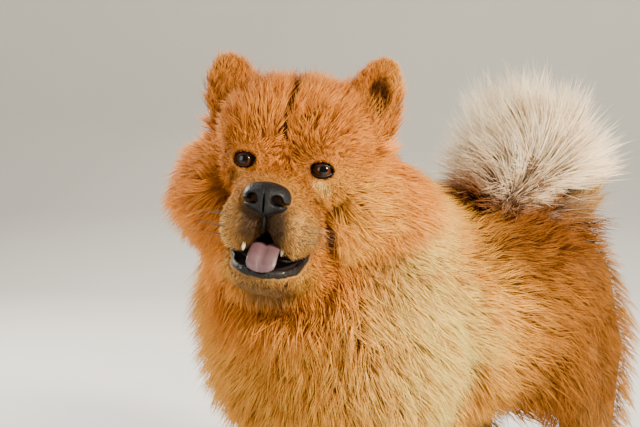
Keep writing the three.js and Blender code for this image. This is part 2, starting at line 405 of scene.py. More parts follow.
class Socket:
    """A shader socket that can be added, multiplied and mixed as a number is."""

    def __init__(self, tree, link):
        self.tree = tree
        self.link = link

    def node(self, kind, settings=(), **inputs):
        """A new node: its settings, a ramp's stops among them, and then its sockets' values or links."""
        made = self.tree.nodes.new(kind)
        for name, value in dict(settings).items():
            if name == "stops":
                ramp = made.color_ramp.elements
                ramp[0].color, ramp[1].color = value[0][1], value[-1][1]
                for at, colour in value[1:-1]:
                    ramp.new(at).color = colour
            else:
                setattr(made, name, value)
        for name, value in inputs.items():
            key = int(name[1:]) if name[0] == "_" and name[1:].isdigit() else name.replace("_", " ")
            if isinstance(value, Socket):
                self.tree.links.new(value.link, made.inputs[key])
            else:
                made.inputs[key].default_value = value
        return made

    def math(self, operation, first, second):
        made = self.node("ShaderNodeMath", {"operation": operation}, _0=first, _1=second)
        return Socket(self.tree, made.outputs[0])

    def __add__(self, other):
        return self.math("ADD", self, other)

    def __mul__(self, other):
        return self.math("MULTIPLY", self, other)

    def __sub__(self, other):
        return self.math("SUBTRACT", self, other)

    def __rsub__(self, other):
        return self.math("SUBTRACT", other, self)

    __radd__ = __add__
    __rmul__ = __mul__

    def colour(self, first, second, blend="MIX"):
        """Two colours mixed by this socket's value."""
        settings = {"data_type": "RGBA", "blend_type": blend}
        made = self.node("ShaderNodeMix", settings, _0=self, _6=first, _7=second)
        return Socket(self.tree, made.outputs[2])


def material(name, **constants):
    """A new material, its shader with its constant values, and a socket with its Object coordinates."""
    made = bpy.data.materials.new(name)
    made.use_nodes = True
    shader = made.node_tree.nodes["Principled BSDF"]
    for key, value in constants.items():
        shader.inputs[key.replace("_", " ")].default_value = value
    places = Socket(made.node_tree, None).node("ShaderNodeTexCoord")
    return made, shader, Socket(made.node_tree, places.outputs["Object"])


def noise(place, scale, detail=3):
    made = place.node("ShaderNodeTexNoise", Vector=place, Scale=scale, Detail=detail)
    return Socket(place.tree, made.outputs[0])


def feed(shader, socket, value):
    value.tree.links.new(value.link, shader.inputs[socket])


def bump(place, height, strength, distance):
    made = place.node("ShaderNodeBump", Height=height, Strength=strength, Distance=distance)
    return Socket(place.tree, made.outputs[0])


def attribute(place, name):
    made = place.node("ShaderNodeAttribute", {"attribute_name": name})
    return Socket(place.tree, made.outputs["Color"])


def shade(*screen):
    """A colour from its red, green and blue on a screen, 0 to 255."""
    return np.array([c / 255 / 12.92 if c < 10 else ((c / 255 + 0.055) / 1.055) ** 2.4 for c in screen])


RED = shade(204, 122, 32)
GOLD = shade(222, 160, 62)
CREAM = shade(252, 212, 126)
DEEP = shade(150, 76, 14)
SAND = shade(222, 168, 104)
PALE = shade(228, 212, 196)
SOOT = shade(44, 36, 33)
UMBER = shade(84, 40, 14)
GRIZZLE = shade(150, 124, 92) * 0.5
EAR_DARK = UMBER * 0.5
# Black, laid on the coat as painted shade
PAINTED_SHADE = np.zeros(3)


def ease(value, low, high):
    """From nought at low to one at high, smoothly."""
    share = np.clip((value - low) / (high - low), 0, 1)
    return share * share * (3 - 2 * share)


def blended(first, second, share):
    return first + (second - first) * share[:, None]


def patch(points, centre, half, edge, full):
    """Nought at an ellipsoid's edge and one where it is full, both told as shares of its half sizes."""
    return ease(np.linalg.norm((points - centre) / half, axis=1), edge, full)


def furrow(local):
    """The crease that runs up the middle of the forehead, where its shade is painted dark."""
    ahead, aside, up = local.T
    across = np.abs(aside + 3 + 0.04 * (up - 18))
    return ease(across, 9, 3) * ease(up, 8, 22) * ease(up, 94, 70) * ease(ahead, -70, -50)


def markings(points):
    """The coat's colour at each point of the skin, laid on from the widest patch to the smallest."""
    local = to_head(points)
    ahead, _, up = local.T
    body = points - dog_origin
    along, _, high = body.T
    face = patch(local, (-50, 0, 0), (85, 115, 140), 1.3, 0.85)
    beard = patch(local, (46, 0, -62), (58, 62, 50), 1.35, 0.5)
    sooty = patch(local, (64, 0, -58), (22, 29, 42), 1.25, 0.6)
    sooty = np.maximum(sooty, ease(mouth_gap(local), 9, 2) * ease(ahead, 0, 14))
    # Each layer is a colour and its share: the body's, the tail's, and then the face's
    layers = [
        (RED, 0.6 * ease(along, 60, -120)),
        # Painted shadow of the plume: the top of the back behind the shoulders is deepened
        (DEEP, 0.9 * ease(high, 400, 500) * ease(along, 60, -60)),
        # Painted shade: the flank between shoulder and haunch is deepened
        (DEEP, 0.5 * ease(along, 70, -30) * ease(along, -260, -140)),
        # Painted sunlight: a pale cream patch on the left shoulder, the lit side
        (CREAM, 0.75 * patch(body, (180, 150, 400), (100, 120, 160), 1.3, 0.4)),
        (CREAM, 0.5 * ease(high, 300, 120)),
        (CREAM, 0.5 * ease(along, -190, -260)),
        # Painted shade: black laid over the flank, and more over the back under the plume
        (PAINTED_SHADE, ease(along, 70, -30) * (0.32 + 0.3 * ease(high, 400, 500))),
        (PALE, ease(high, 470, 520) * ease(along, -60, -110)),
        (RED, face),
        (DEEP, 0.45 * face * ease(up, 5, 70)),
        # Painted sunlight: a golden patch on the left cheek, the lit side
        (GOLD, 0.8 * patch(local, (-20, 70, -40), (60, 40, 50), 1.3, 0.4)),
        (SAND, 0.75 * beard * ease(up, -26, -60)),
        (DEEP, 0.8 * beard * ease(up, -60, -22)),
        (SOOT, 0.92 * sooty),
        (GRIZZLE, 0.85 * patch(local, (36, 0, -124), (40, 40, 18), 1.3, 0.7)),
    ]
    # Round each eye a dark ring, and under it a pale pouch, stronger on the left with painted sunlight
    for side, strength in ((1, 0.6), (-1, 0.25)):
        pouch = patch(local, (4, side * (EYE_SPREAD - 1), -16), (16, 13, 6), 1.3, 0.6)
        ring = patch(local, (0, side * EYE_SPREAD, 0), (30, 14, 9.4), 1.1, 0.85)
        layers += [(SOOT, 0.8 * ring), (CREAM, strength * pouch)]
    # A tear stain beside the right eye, painted shade in the furrow, and the hollows of the ears
    layers.append((UMBER, 0.55 * patch(local, (0, -48, -14), (14, 2.4, 9), 1.3, 0.7)))
    layers.append((UMBER, 0.9 * furrow(local)))
    for (side, (tip_x, tip_y, tip_z)), strength in zip(EARS, (1, 0.35)):
        inside = patch(local, (tip_x + 4, side * (tip_y - 3), tip_z - 49), (12, 12, 27), 1.15, 0.75)
        layers.append((EAR_DARK, strength * inside * ease(ahead, tip_x - 10, tip_x - 4)))
    colour = np.tile(GOLD + (RED - GOLD) * 0.15, (len(points), 1))
    for tint, share in layers:
        colour = blended(colour, tint, share)
    return colour


def fitted(made, look, slot, *nodes):
    """Gives a piece its finish, and sets it on the body in place of the solids that it stands for."""
    made.data.materials.append(look)
    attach(made, "root")
    if nodes:
        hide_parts(*nodes)


FACE_X = (head_origin[0] - 70, head_origin[0] + 95)
FACE_Y = (head_origin[1] - 75, head_origin[1] + 110)
FACE_Z = (EYE_HEIGHT - 140, EYE_HEIGHT + 50)
low, high = np.array([list(corner) for corner in cad_box]) * 1000
skin_axes = [
    grid_line((low[0] - 8, FACE_X[0], 6), (*FACE_X, 2), (FACE_X[1], high[0] + 14, 6)),
    grid_line((low[1] - 8, FACE_Y[0], 6), (*FACE_Y, 2), (FACE_Y[1], high[1] + 14, 6)),
    grid_line((low[2] - 8, FACE_Z[0], 6), (*FACE_Z, 2), (FACE_Z[1], high[2] + 14, 5)),
]
skin_points, skin_faces = surface(skin_field, skin_axes, near=26)
skin_points = settled(skin_field, skin_points)
skin_normals = unit(slopes(skin_field, skin_points))
skin = piece("skin", skin_points, skin_faces)
mouth_depth = ease(mouth_gap(to_head(skin_points)), 2.5, 0.5)
paint(skin, "coat_colour", blended(markings(skin_points) * 0.6, shade(46, 30, 32), mouth_depth))
skin_look, shader, place = material("skin_fur_bed", Roughness=0.8, Specular_IOR_Level=0.2)
speckle = noise(place, 260, 4) * 0.35
feed(shader, "Base Color", speckle.colour(attribute(place, "coat_colour"), (0.03, 0.015, 0.008, 1)))
feed(shader, "Normal", bump(place, noise(place, 420, 4), 0.6, 0.002))
flesh = ["head", "muzzle", "lower_jaw", "neck", "trunk", "tail", "ear_left", "ear_right"]
flesh += [f"{kind}_{side}" for side in SIDES for kind in ("foreleg", "hindleg", "forepaw", "hindpaw")]
fitted(skin, skin_look, "red_coat", *flesh)

# Eyes
# Each eye is a wet brown ball with a domed cornea, set in its socket and looking at whoever stands in
# front. The pupil, iris and dark rim are rings about the way it looks.
def ink(*screen):
    """A screen's colour as a shader's socket takes it."""
    return (*shade(*screen), 1)


EYEBALL = 11.5
EYE_LOOK = {"left": (1, 0.16, 0.04), "right": (1, -0.04, 0.04)}
EYE_RINGS = (
    (0.0, ink(2, 2, 3)), (0.22, ink(4, 3, 4)), (0.28, ink(66, 36, 18)), (0.56, ink(50, 27, 14)),
    (0.70, ink(10, 7, 6)), (1.0, ink(96, 74, 66)),
)


def tube_faces(rows, sides):
    """Four-sided faces between rings of points, each ring closed and the ends open."""
    index = np.arange(rows * sides).reshape(rows, sides)
    after = np.roll(index, -1, 1)
    return np.stack([index[:-1], index[1:], after[1:], after[:-1]], -1).reshape(-1, 4)


def ball(rings, sides):
    """A unit ball's points, with its poles along x."""
    turns = np.linspace(0, 2 * np.pi, sides, endpoint=False)
    tilts = np.linspace(0.02, np.pi - 0.02, rings)
    tilt, turn = np.meshgrid(tilts, turns, indexing="ij")
    across = np.sin(tilt)
    return np.stack([np.cos(tilt), across * np.cos(turn), across * np.sin(turn)], -1).reshape(-1, 3)


def capped(made):
    """Closes each open rim of a mesh with one flat face."""
    shape = bmesh.new()
    shape.from_mesh(made.data)
    bmesh.ops.holes_fill(shape, edges=[edge for edge in shape.edges if edge.is_boundary], sides=0)
    bmesh.ops.recalc_face_normals(shape, faces=shape.faces)
    shape.to_mesh(made.data)
    shape.free()


eye_look, shader, place = material(
    "eye_wet", Roughness=0.12, Coat_Weight=0.55, Coat_Roughness=0.02, Specular_IOR_Level=0.1
)
rings = attribute(place, "from_pupil") + (noise(place, 900, 4) - 0.5) * 0.05
iris = rings.node("ShaderNodeValToRGB", {"stops": EYE_RINGS}, Fac=rings)
feed(shader, "Base Color", Socket(place.tree, iris.outputs[0]))
for side, sign in SIDES.items():
    points = ball(40, 48)
    away = np.degrees(np.arccos(np.clip(points[:, 0], -1, 1)))
    cornea = 1 + 0.07 * ease(away, 42, 20)
    look = np.array(Vector(EYE_LOOK[side]).to_track_quat("X", "Z").to_matrix())
    local = (points * cornea[:, None] * EYEBALL) @ look.T + (-EYE_SETBACK, sign * EYE_SPREAD, 0)
    eye = piece(f"eyeball_{side}", from_head(local), tube_faces(40, 48))
    paint(eye, "from_pupil", away / 90)
    capped(eye)
    fitted(eye, eye_look, "eye", f"eye_{side}")

# Eyelids
# The lids are black, moist margins that close on the ball in an almond, with a corner towards the nose.
# Each is a rolled rim whose outer skirt is buried under the skin and its fur.
LID_WIDTH = {"left": 11.2, "right": 9.6}
LID_HEIGHT = 5.8
LID_DROOP = 0.9
# Each line of the rim: how far out from the almond, and how far in front of the ball it stands
LID_SECTION = ((-0.2, -1.6), (0.0, 0.3), (0.5, 0.9), (1.2, 0.8), (2.4, -0.8), (4.6, -3.8), (3.4, -6.0))


def rim_faces(section, turns):
    """Four-sided faces round a rim that closes both ways."""
    index = np.arange(section * turns).reshape(turns, section)
    after = np.roll(index, -1, 0)
    quads = np.stack([index, after, np.roll(after, -1, 1), np.roll(index, -1, 1)], -1)
    return quads.reshape(-1, 4)


lid_look, shader, place = material("lid_skin", Specular_IOR_Level=0.5)
feed(shader, "Base Color", noise(place, 500).colour(ink(34, 26, 24), ink(14, 11, 11)))
feed(shader, "Roughness", noise(place, 300, 2) * 0.3 + 0.3)
feed(shader, "Normal", bump(place, noise(place, 1500, 2), 0.3, 0.0005))
for side, sign in SIDES.items():
    turns = np.linspace(0, 2 * np.pi, 72, endpoint=False)
    pinch = (1 - 0.35 * np.abs(np.cos(turns)) ** 3) * np.where(np.sin(turns) > 0, 0.92, 1)
    radius = EYEBALL * 1.03
    lines = []
    for out, front in LID_SECTION:
        across = (LID_WIDTH[side] + out) * np.cos(turns)
        up = (LID_HEIGHT + out) * np.sin(turns) * pinch
        reach = np.sqrt(np.maximum(radius ** 2 - np.minimum(across ** 2 + up ** 2, radius ** 2), 6.0))
        flat = np.interp(out, (0, 4), (0, 0.75))
        depth = reach * (1 - flat) + (radius * 0.72) * flat + front
        up += LID_DROOP * np.cos(turns)
        lines.append(np.stack([depth - EYE_SETBACK, sign * EYE_SPREAD + across, up], -1))
    points = np.stack(lines, 1).reshape(-1, 3)
    lid = piece(f"eyelids_{side}", from_head(points), rim_faces(len(LID_SECTION), len(turns)))
    capped(lid)
    fitted(lid, lid_look, "nose")

# Nose
# The nose is one pad of bare black leather, pebbled and moist, with two comma-shaped nostrils and a
# groove that runs down from between them to the lip.
nose_masses = [
    mass((58, 0, -29), (20, 21, 13), (20, 21, 13), True),
    *pair((60, 13, -33), (14, 10, 12), (14, 10, 12), True),
    mass((61, 0, -40), (14, 10, 9), (14, 10, 9), True),
]
philtrum = [mass((50, 0, -53), (12, 1.8, 12), (12, 1.8, 12), True)]


def nose_field(points):
    pad = merged(distances(points, nose_masses, SKIN, 6), distances(points, philtrum, SKIN, 1), 2.5)
    local = to_head(points)
    for side in (1, -1):
        hole = to_ellipsoid(local, np.float32((74, side * 12, -33)), np.float32((14, 6, 5.4)), upright)
        slit = to_ellipsoid(local, np.float32((68, side * 19, -36.5)), np.float32((10, 4.5, 1.8)), upright)
        pad = -merged(-pad, merged(hole, slit, 3), 2.0)
    groove = to_ellipsoid(local, np.float32((77, 0, -44)), np.float32((9, 1.0, 18)), upright)
    return -merged(-pad, groove, 1.6)


centre = from_head((60, 0, -36))
nose_axes = [np.arange(c - 32, c + 32, 0.9) for c in centre]
points, faces = surface(nose_field, nose_axes, near=8)
nose = piece("nose_pad", settled(nose_field, points, 1), faces)
nose_look, shader, place = material("nose_leather", Specular_IOR_Level=0.2, Coat_Roughness=0.3)
pebbles = place.node("ShaderNodeTexVoronoi", {"feature": "F1"}, Vector=place, Scale=620.0)
pebbles = Socket(place.tree, pebbles.outputs[0])
feed(shader, "Base Color", noise(place, 200).colour(ink(5, 5, 7), ink(20, 20, 24)))
feed(shader, "Roughness", noise(place, 350) * 0.3 + 0.4)
feed(shader, "Coat Weight", noise(place, 120, 2) * 0.3)
feed(shader, "Normal", bump(place, 1 - pebbles, 0.8, 0.0009))
fitted(nose, nose_look, "nose", "nose")

# Lips
# Black, wet lip margins edge the open mouth above and below. Each is a soft roll that follows the
# skin's edge from one corner of the mouth to the other.
def on_skin(local_from, local_way, reach=90):
    """Where lines in the head's frame first meet the skin."""
    way = unit(local_way)
    travelled = np.zeros(len(way), np.float32)
    for _ in range(60):
        at = (local_from + travelled[:, None] * way).astype(np.float32)
        travelled += np.clip(head_flesh(from_head(at).astype(np.float32)), -2, 6) * 0.7
    return local_from + np.minimum(travelled, reach)[:, None] * way


def swept(path, radii, flatten, sides=10):
    """A closed roll along a path: its points and its faces."""
    forward = unit(np.gradient(path, axis=0))
    outward = unit(np.cross(forward, (0, 0, 1)))
    upward = np.cross(outward, forward)
    turns = np.linspace(0, 2 * np.pi, sides, endpoint=False)[None, :, None]
    ring = np.cos(turns) * outward[:, None] + flatten * np.sin(turns) * upward[:, None]
    rolls = path[:, None] + radii[:, None, None] * ring
    return rolls.reshape(-1, 3), tube_faces(len(path), sides)


lip_look, shader, place = material("lip_skin", Specular_IOR_Level=0.2, Coat_Roughness=0.15)
feed(shader, "Base Color", noise(place, 150).colour(ink(5, 4, 5), ink(26, 21, 22)))
feed(shader, "Roughness", noise(place, 260) * 0.4 + 0.3)
feed(shader, "Coat Weight", (noise(place, 160) - 0.35) * 0.7)
feed(shader, "Normal", bump(place, noise(place, 500), 0.9, 0.0018))
# A line towards the skin starts this far from the axis of the lips
LINE_START = 80
turns = np.linspace(-LIP_CORNER, LIP_CORNER, 110)
upper, lower = lip_heights(turns)
lips = (("upper", upper, 2.4, 1.4, 0.8), ("lower", lower - 2.0, 3.5, 1.6, 1.3))
for name, height, thick, inset, tall in lips:
    smooth = np.convolve(np.pad(height, 4, mode="edge"), np.ones(9) / 9, "valid")
    angle = np.radians(turns + LIP_SWING)
    way = np.stack([-np.cos(angle), -np.sin(angle), np.zeros_like(angle)], -1)
    start = np.stack([LIP_AXIS + LINE_START * np.cos(angle), LINE_START * np.sin(angle), smooth], -1)
    path = on_skin(start.astype(np.float32), way.astype(np.float32)) + inset * way
    for _ in range(6):
        path[1:-1] = (path[:-2] + path[1:-1] + path[2:]) / 3
    taper = np.clip((LIP_CORNER - np.abs(turns)) / 14, 0.35, 1)
    knobs = 1 + 0.12 * np.sin(turns * 0.55) * np.sin(turns * 0.23 + 1)
    fullness = np.interp(turns, (-LIP_CORNER, -60, -20, 50, LIP_CORNER), (0.4, 0.6, 0.95, 1, 0.5))
    points, faces = swept(path, thick * taper * knobs * fullness, tall)
    lip = piece(f"lip_{name}", from_head(points), faces)
    capped(lip)
    fitted(lip, lip_look, "nose")

# Tongue
# The tongue is a thick, blue-grey blade of flesh with a groove down its middle. It rises behind the
# lower lip and rests over it.
TONGUE_PATH = ((0, -98), (20, -88), (38, -79), (52, -79), (63, -87), (69, -97), (70, -103))
TONGUE_HALF = 15.5
TONGUE_THICK = 3.6
TONGUE_ASIDE = 4
tongue_line = np.array(TONGUE_PATH, float)
steps = np.linspace(0, len(tongue_line) - 1, 40)
spine = np.stack([np.interp(steps, range(len(tongue_line)), tongue_line[:, i]) for i in range(2)], -1)
for _ in range(4):
    spine[1:-1] = (spine[:-2] + spine[1:-1] + spine[2:]) / 3
along = np.linspace(0, 1, len(spine))
rounding = np.clip(1 - np.clip((along - 0.72) / 0.28, 0, 1) ** 2.4, 0.02, 1)
half_width = TONGUE_HALF * np.sqrt(rounding) * (0.85 + 0.15 * along)
forward = unit(np.gradient(spine, axis=0))
turns = np.linspace(0, 2 * np.pi, 28, endpoint=False)
across = np.cos(turns)[None] * half_width[:, None]
thickness = (TONGUE_THICK * np.sqrt(half_width / TONGUE_HALF))[:, None]
groove = 1.6 * np.exp(-((across / 2.6) ** 2)) * (np.sin(turns) > 0)
lift = np.sin(turns)[None] * thickness - groove + 0.05 * np.abs(across)
ahead = spine[:, None, 0] - lift * forward[:, None, 1]
up = spine[:, None, 1] + lift * forward[:, None, 0]
points = np.stack([ahead, across + TONGUE_ASIDE, up], -1).reshape(-1, 3)
tongue = piece("tongue_blade", from_head(points), tube_faces(len(spine), len(turns)))
capped(tongue)
tongue_look, shader, place = material("tongue_flesh", Specular_IOR_Level=0.5, Coat_Roughness=0.2)
feed(shader, "Base Color", noise(place, 90, 4).colour(ink(66, 46, 54), ink(108, 76, 80)))
feed(shader, "Roughness", noise(place, 500, 2) * 0.3 + 0.3)
feed(shader, "Coat Weight", noise(place, 160, 2) * 0.5)
feed(shader, "Normal", bump(place, noise(place, 1100), 0.7, 0.0006))
fitted(tongue, tongue_look, "tongue", "tongue")

# Teeth
# The two upper canines are curved ivory cones that show beside the tongue, mottled with yellow. Each is
# turned about its own bent line, and the gum buries its root.
CANINE_ROOT = (45, 20, -74)
CANINE_LENGTH = 13
CANINE_RADIUS = 3.1
tooth_look, shader, place = material("tooth_enamel", Roughness=0.25, Coat_Weight=0.4)
feed(shader, "Base Color", noise(place, 120, 2).colour(ink(206, 192, 160), ink(226, 218, 198)))
feed(shader, "Normal", bump(place, noise(place, 600, 2), 0.15, 0.0004))
for side, sign in SIDES.items():
    along = np.linspace(0, 1, 14)[:, None]
    radii = CANINE_RADIUS * np.sqrt(1 - along ** 1.6 * 0.97)
    turns = np.linspace(0, 2 * np.pi, 16, endpoint=False)[None]
    ahead = CANINE_ROOT[0] + 1.6 * np.sin(along * 2.4) + radii * np.cos(turns)
    aside = sign * (CANINE_ROOT[1] - along) + 0.85 * radii * np.sin(turns)
    up = CANINE_ROOT[2] - CANINE_LENGTH * along + 0 * turns
    points = np.stack([ahead, aside, up], -1).reshape(-1, 3)
    tooth = piece(f"canine_tooth_{side}", from_head(points), tube_faces(14, 16))
    capped(tooth)
    fitted(tooth, tooth_look, "tooth", f"canine_{side}")

# Claws
# Each toe ends in a blunt dark claw of horn that curves down to just above the floor. Four stand on
# each paw, and the fur of the toe hides the quick.
CLAW_LENGTH = 15
CLAW_RADIUS = 3.4
claw_look, shader, place = material("claw_horn", Coat_Weight=0.2)
feed(shader, "Base Color", noise(place, 240).colour(ink(44, 38, 34), ink(92, 80, 70)))
feed(shader, "Roughness", noise(place, 300, 2) * 0.3 + 0.35)
for foot, heel in HEELS.items():
    for side, sign in SIDES.items():
        for number, toe in enumerate(TOES, 1):
            x, y, z = toe_at(heel, sign, toe)
            along = np.linspace(0, 1, 9)
            ahead = x + 12 + CLAW_LENGTH * along
            up = z + 5 - 3 * along - 10 * along ** 2
            path = np.stack([ahead, y + 0 * along, up], -1)
            points, faces = swept(path, CLAW_RADIUS * np.sqrt(1 - 0.93 * along ** 1.4), 1.15)
            claw = piece(f"claw_{foot}_{side}_{number}_horn", points + dog_origin, faces)
            capped(claw)
            fitted(claw, claw_look, "claw", f"claw_{foot}_{side}_{number}")

# Coat
# The coat is double: a woolly bed on the skin and, over it, harsh straight hair that stands off the
# body. Every lock is a thin closed spindle of mesh that grows from the skin and lies as the hair does.
triangles = np.concatenate([skin_faces[:, [0, 1, 2]], skin_faces[:, [0, 2, 3]]])
corners = skin_points[triangles]
facing = np.cross(corners[:, 1] - corners[:, 0], corners[:, 2] - corners[:, 0])
areas = np.linalg.norm(facing, axis=1) / 2
centres = corners.mean(axis=1)
near = skin_groups(centres)
ahead, aside, up = to_head(centres).T
along, across, high = (centres - dog_origin).T
on_head = near["head"] < np.minimum(near["body"], near["ears"]) + 3
on_ears = (near["ears"] < near["head"] - 1) & (up > 40)
on_tail = (near["tail"] < near["body"]) & (high > 458)
on_paws = (near["paws"] < near["legs"]) & (high < 70)
on_legs = (near["legs"] < near["body"] + 1) & ~on_paws & ~on_tail
on_face = on_head & (ahead > -34) & (up > -128) & ~on_ears
on_muzzle = on_face & (np.abs(aside) < 56) & (ahead > 6) & (up < -6)
on_ruff = on_head & ~on_face & ~on_ears
on_mane = ~(on_head | on_ears | on_tail | on_legs | on_paws) & (along > 70)
on_barrel = ~(on_head | on_ears | on_tail | on_legs | on_paws | on_mane)
REGIONS = [
    # name, where, locks, rings, shortest, longest, share that clumps
    ("coat_muzzle", on_muzzle, 15000, 1, 2, 14, 0.2),
    ("coat_face", on_face & ~on_muzzle, 16600, 2, 3, 50, 0.3),
    ("coat_ears", on_ears, 10000, 1, 5, 40, 0.15),
    ("coat_ruff_left", on_ruff & (aside >= 0), 13000, 2, 8, 95, 0.35),
    ("coat_ruff_right", on_ruff & (aside < 0), 12000, 2, 8, 95, 0.35),
    ("coat_mane_left", on_mane & (across >= 0), 16600, 2, 20, 140, 0.4),
    ("coat_mane_right", on_mane & (across < 0), 12500, 2, 20, 140, 0.4),
    ("coat_barrel", on_barrel, 14500, 2, 20, 85, 0.4),
    ("coat_legs", on_legs, 9800, 2, 8, 75, 0.4),
    ("coat_paws", on_paws, 6500, 1, 3, 9, 0.15),
    ("coat_tail", on_tail, 16000, 2, 30, 230, 0.45),
]
# The plume's hair all points away from a place low in the tail
FAN = (-204, 24, 426)


def coat_field(points):
    """Below nought inside the tips of the coat."""
    groups = ((trunk, 60), (neck, 50), (tail, 40), (legs, 10), (paws, 8))
    groups += ((skull, 34), (muzzle, 18), (jaw, 12), (ears, 5))
    return np.min([distances(points, group, COAT, blend) for group, blend in groups], axis=0)


def growth(points, normals):
    """The way that the hair lies along the skin, and how far it stands off: 0 is flat and 1 is upright."""
    groups = skin_groups(points)
    local = to_head(points)
    body = points - dog_origin
    from_nose = local - (92, 0, -34)
    ruff_way = unit(local - (40, 0, 0)) * (0.2, 1, 1) + (-0.5, 0, -0.35)
    behind = ease(local[:, 0], -20, -70)[:, None]
    head_way = unit(from_nose) * (1 - behind) + ruff_way * behind
    for side in (1, -1):
        from_eye = local - (0, side * EYE_SPREAD, 0)
        close = ease(np.linalg.norm(from_eye, axis=1), 34, 16)[:, None]
        head_way = unit(head_way) * (1 - close) + unit(from_eye) * close
    rise = 0.28 + 0.48 * ease(np.linalg.norm(from_nose, axis=1), 50, 190)
    rise *= 1 - 0.65 * np.clip((normals @ head_turn)[:, 0], 0, 1) * ease(np.abs(local[:, 1]), 30, 70)
    # On the chest the hair turns down, and parts to each side
    chest = ease(body[:, 0], 120, 230)
    body_way = np.tile((-0.72, 0.0, -0.42), (len(points), 1))
    body_way[:, 0] += chest * 0.45
    body_way[:, 2] -= chest * 0.6
    body_way[:, 1] += np.clip(body[:, 1] / 80, -1, 1) * 0.3 * ease(body[:, 0], 100, 220)
    same = np.ones((len(points), 1))
    ways = {
        "body": (body_way, 0.62 + 0.08 * ease(body[:, 0], 60, 140)),
        "tail": ((body - FAN) * (1.5, 0.3, 1), 0.8),
        "legs": (same * (-0.25, 0, -1), 0.62),
        "paws": (same * (0.75, 0, -0.55), 0.25),
        "head": (head_way @ head_turn.T, rise),
        "ears": (same * ((0.05, 0, 1) @ head_turn.T), 0.4),
    }
    pulls = {name: np.exp(-np.clip(groups[name], -2, 200) / 9) for name in ways}
    total = sum(pulls[name][:, None] * unit(way) for name, (way, _) in ways.items())
    stand = sum(pulls[name] * off for name, (_, off) in ways.items()) / sum(pulls.values())
    flat = total - (total * normals).sum(axis=1, keepdims=True) * normals
    return unit(flat), stand[:, None]


def unwrap():
    """The skin opened out flat, at a corner of each of its faces."""
    bpy.context.view_layer.objects.active = skin
    skin.select_set(True)
    bpy.ops.object.mode_set(mode="EDIT")
    bpy.ops.mesh.select_all(action="SELECT")
    bpy.ops.uv.smart_project(angle_limit=math.radians(66), island_margin=0.002)
    bpy.ops.object.mode_set(mode="OBJECT")
    flat = np.zeros(len(skin.data.loops) * 2, np.float32)
    skin.data.uv_layers.active.data.foreach_get("uv", flat)
    return flat.reshape(len(skin_faces), 4, 2)


skin_flat = unwrap()
corner_uvs = np.concatenate([skin_flat[:, [0, 1, 2]], skin_flat[:, [0, 2, 3]]])
corner_normals = skin_normals[triangles]
chance = np.random.default_rng(1806)


def bare_skin(points):
    """Where no hair grows: the eyes, the nose, the lips, the mouth and the soles."""
    local = to_head(points)
    turns = lip_turns(local)
    below = local[:, 2] - lip_heights(turns)[1]
    bare = (mouth_gap(local) < 1.5) | ((below > -6) & (below < 3) & (np.abs(turns) < LIP_CORNER - 6))
    bare &= local[:, 0] > -25
    for side, sign in SIDES.items():
        gap = (local - (0, sign * EYE_SPREAD, 0)) / (18, LID_WIDTH[side] + 0.9, LID_HEIGHT + 0.8)
        bare |= np.linalg.norm(gap, axis=1) < 1
    return bare | (nose_field(points) < 0.6) | (points[:, 2] < 2.5)


def hairs(where, count):
    """Roots scattered evenly over part of the skin: place, way out, and place on the unwrap."""
    chosen = np.flatnonzero(where)
    running = np.cumsum(areas[chosen])
    marks = (np.arange(count) + chance.random(count)) * running[-1] / count
    picked = chosen[np.minimum(np.searchsorted(running, marks), len(chosen) - 1)]
    first, second = chance.random((2, count))
    flip = first + second > 1
    first, second = np.where(flip, 1 - first, first), np.where(flip, 1 - second, second)
    share = np.stack([1 - first - second, first, second], -1)[:, :, None]
    roots = (corners[picked] * share).sum(axis=1)
    normals = unit((corner_normals[picked] * share).sum(axis=1))
    places = (corner_uvs[picked] * share).sum(axis=1)
    keep = ~bare_skin(roots)
    return roots[keep], normals[keep], places[keep]


def cap(points):
    """The longest that hair grows here: short round the nose, the lips and the eyes, and longer behind."""
    local = to_head(points)
    from_nose = np.linalg.norm(local - (78, 0, -34), axis=1)
    longest = 2.2 + 0.0022 * from_nose ** 2 + 0.05 * np.clip(from_nose - 105, 0, 400) ** 1.6
    longest = np.minimum(longest, 2.5 + 0.7 * np.clip(mouth_gap(local) - 2, 0, 400))
    for side in (1, -1):
        from_eye = np.linalg.norm((local - (-4, side * EYE_SPREAD, 0)) / (1, 1, 0.8), axis=1)
        longest = np.minimum(longest, 1.8 + 0.62 * np.clip(from_eye - 14, 0, 400))
    on_ear = ease(distances(points, ears, SKIN, 10), 6, 1)
    longest += (np.interp(local[:, 2], (45, 75, 115), (38, 22, 7)) - longest) * on_ear
    return longest * (1 - 0.66 * furrow(local))


def lock_faces(count, rings):
    """Triangles of closed three-sided spindles: a root, rings and a tip each."""
    faces = []
    for j in range(3):
        k = (j + 1) % 3
        faces.append((0, 1 + k, 1 + j))
        for ring in range(rings - 1):
            a, b = 1 + 3 * ring, 4 + 3 * ring
            faces += [(a + j, a + k, b + k), (a + j, b + k, b + j)]
        last = 1 + 3 * (rings - 1)
        faces.append((last + j, last + k, 1 + 3 * rings))
    size = 2 + 3 * rings
    return (np.array(faces)[None] + (np.arange(count) * size)[:, None, None]).reshape(-1, 3)


coat_look, shader, place = material("coat_hair", Roughness=0.65, Specular_IOR_Level=0.05)
patchy = noise(place, 30, 3)
fine = noise(place, 420, 2)
deepened = (patchy * 1.1 - 0.3).colour(attribute(place, "coat_colour"), (0.62, 0.42, 0.26, 1), "MULTIPLY")
feed(shader, "Base Color", (fine * 0.5).colour(deepened, (0.80, 0.66, 0.50, 1), "MULTIPLY"))
feed(shader, "Normal", bump(place, fine, 0.25, 0.0008))

